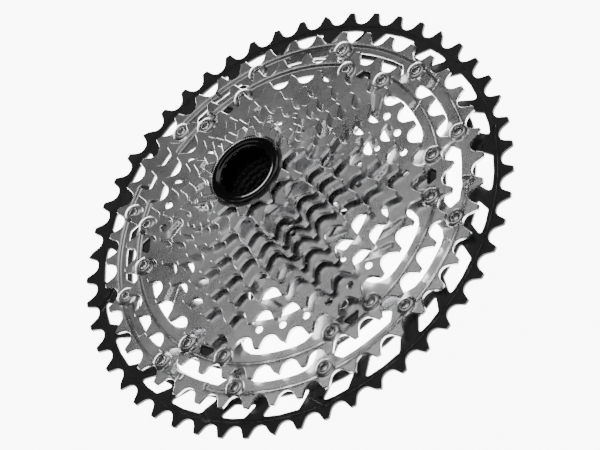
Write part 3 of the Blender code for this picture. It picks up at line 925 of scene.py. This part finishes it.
def stage_floor():
    """A pale light table with a small dark disc of painted shade under the hub, seen through the
    bore.
    """
    bpy.ops.mesh.primitive_plane_add(size=FLOOR_SIZE, location=(0.0, 0.0, CAD_BOX[0][2]))
    floor = bpy.context.object
    floor.name = "floor"
    material = bpy.data.materials.new("pale_floor_and_shade_disc")
    material.use_nodes = True
    tree = material.node_tree
    shader = tree.nodes["Principled BSDF"]
    shader.inputs["Roughness"].default_value = 0.9
    shader.inputs["Emission Color"].default_value = (1.0, 1.0, 1.0, 1.0)
    place = node(tree, "ShaderNodeTexCoord")
    length = node(tree, "ShaderNodeVectorMath", operation="LENGTH")
    tree.links.new(place.outputs["Object"], length.inputs[0])
    # Inside the disc the floor is dark and does not glow: painted shade that keeps the hub's bore
    # dark.
    for target, dark, light in (("Emission Strength", 0.0, FLOOR_GLOW), ("Base Color", 0.02, 0.9)):
        shade = node(tree, "ShaderNodeMapRange")
        shade.inputs["From Min"].default_value = PAINTED_SHADE_DISC
        shade.inputs["From Max"].default_value = PALE_FROM
        shade.inputs["To Min"].default_value = dark
        shade.inputs["To Max"].default_value = light
        tree.links.new(length.outputs["Value"], shade.inputs["Value"])
        tree.links.new(shade.outputs[0], shader.inputs[target])
    floor.data.materials.append(material)


def area_light(name, azimuth, elevation, reach, size, radiance):
    """A soft rectangle that faces the origin; reach and size (width, height) are in metres."""
    light = bpy.data.lights.new(name, "AREA")
    light.shape = "RECTANGLE"
    light.size, light.size_y = size
    light.energy = radiance * math.pi * size[0] * size[1]
    obj = bpy.data.objects.new(name, light)
    flat = polar(reach * math.cos(math.radians(elevation)), azimuth)
    obj.location = (flat[0], flat[1], reach * math.sin(math.radians(elevation)))
    obj.rotation_euler = (-obj.location).to_track_quat("-Z", "Y").to_euler()
    obj.visible_camera = False
    bpy.context.scene.collection.objects.link(obj)


def build_studio():
    stage_floor()
    world = bpy.data.worlds.new("studio")
    world.use_nodes = True
    bpy.context.scene.world = world
    background = world.node_tree.nodes["Background"]
    background.inputs["Color"].default_value = (1.0, 1.0, 1.0, 1.0)
    background.inputs["Strength"].default_value = WORLD_GLOW
    area_light("high_back", azimuth=128.0, elevation=64.0, reach=1.0,
               size=(0.75, 0.30), radiance=1.8)
    area_light("front", azimuth=-36.5, elevation=60.0, reach=1.0,
               size=(1.1, 0.45), radiance=2.6)
    area_light("low_back", azimuth=143.5, elevation=8.0, reach=0.8,
               size=(1.1, 0.2), radiance=8.0)


def build_camera():
    """A long lens, well back, rolled as the object lies across the frame."""
    camera = bpy.data.cameras.new("camera")
    camera.lens = LENS
    camera.sensor_width = 36.0
    camera.clip_end = 20.0
    obj = bpy.data.objects.new("camera", camera)
    turn = (Matrix.Rotation(math.radians(90.0 + CAMERA_AZIMUTH), 4, "Z")
            @ Matrix.Rotation(math.radians(90.0 - CAMERA_ELEVATION), 4, "X")
            @ Matrix.Rotation(math.radians(CAMERA_ROLL), 4, "Z"))
    back_off = Matrix.Translation((0.0, 0.0, CAMERA_DISTANCE))
    obj.matrix_world = Matrix.Translation(CAMERA_AIM) @ turn @ back_off
    bpy.context.scene.collection.objects.link(obj)
    bpy.context.scene.camera = obj


# ------------------------------------------------------------------ the whole scene


def redress_cad(dark, resin_and_bore_shade):
    """The carrier and the spacers are the CAD's own, as almost nothing of them shows."""
    for name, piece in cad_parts.items():
        if name == "carrier" or name.startswith("spacer"):
            piece.data.materials.clear()
            piece.data.materials.append(dark if name == "carrier" else resin_and_bore_shade)


def main():
    # name, darkest and lightest grey, roughness, metallic, strength of the grain
    black = brushed("black_aluminium_satin", grey(0.012), grey(0.024), 0.36, 0.6, 0.08)
    steel = brushed("nickel_steel_satin", grey(0.40), grey(0.68), 0.27, 1.0, 0.09, dent=0.015)
    rivet = brushed("rivet_steel_satin", grey(0.52), grey(0.66), 0.26, 1.0, 0.04)
    dark = brushed("carrier_aluminium_dark", grey(0.05), grey(0.09), 0.42, 0.8, 0.2)
    gloss = brushed("lockring_black_gloss", grey(0.003), grey(0.007), 0.12, 0.0, 0.03)
    # The spacers' black resin, which also paints shade on the sprockets' splined bores.
    resin_and_bore_shade = brushed("spacer_resin_and_bore_shade_matt", grey(0.02), grey(0.035), 0.55, 0.0, 0.25)
    plain = brushed("washer_steel_plain", grey(0.35), grey(0.48), 0.3, 1.0, 0.1)

    build_51(black)
    build_45(steel)
    build_39(steel)
    build_33(steel)
    for teeth in LOOSE:
        build_loose(teeth, steel, resin_and_bore_shade)
    build_12(steel, resin_and_bore_shade)
    build_10(steel, resin_and_bore_shade)
    build_rivets(rivet)
    build_lockring(gloss)
    build_washer(plain)
    redress_cad(dark, resin_and_bore_shade)
    build_studio()
    build_camera()


main()
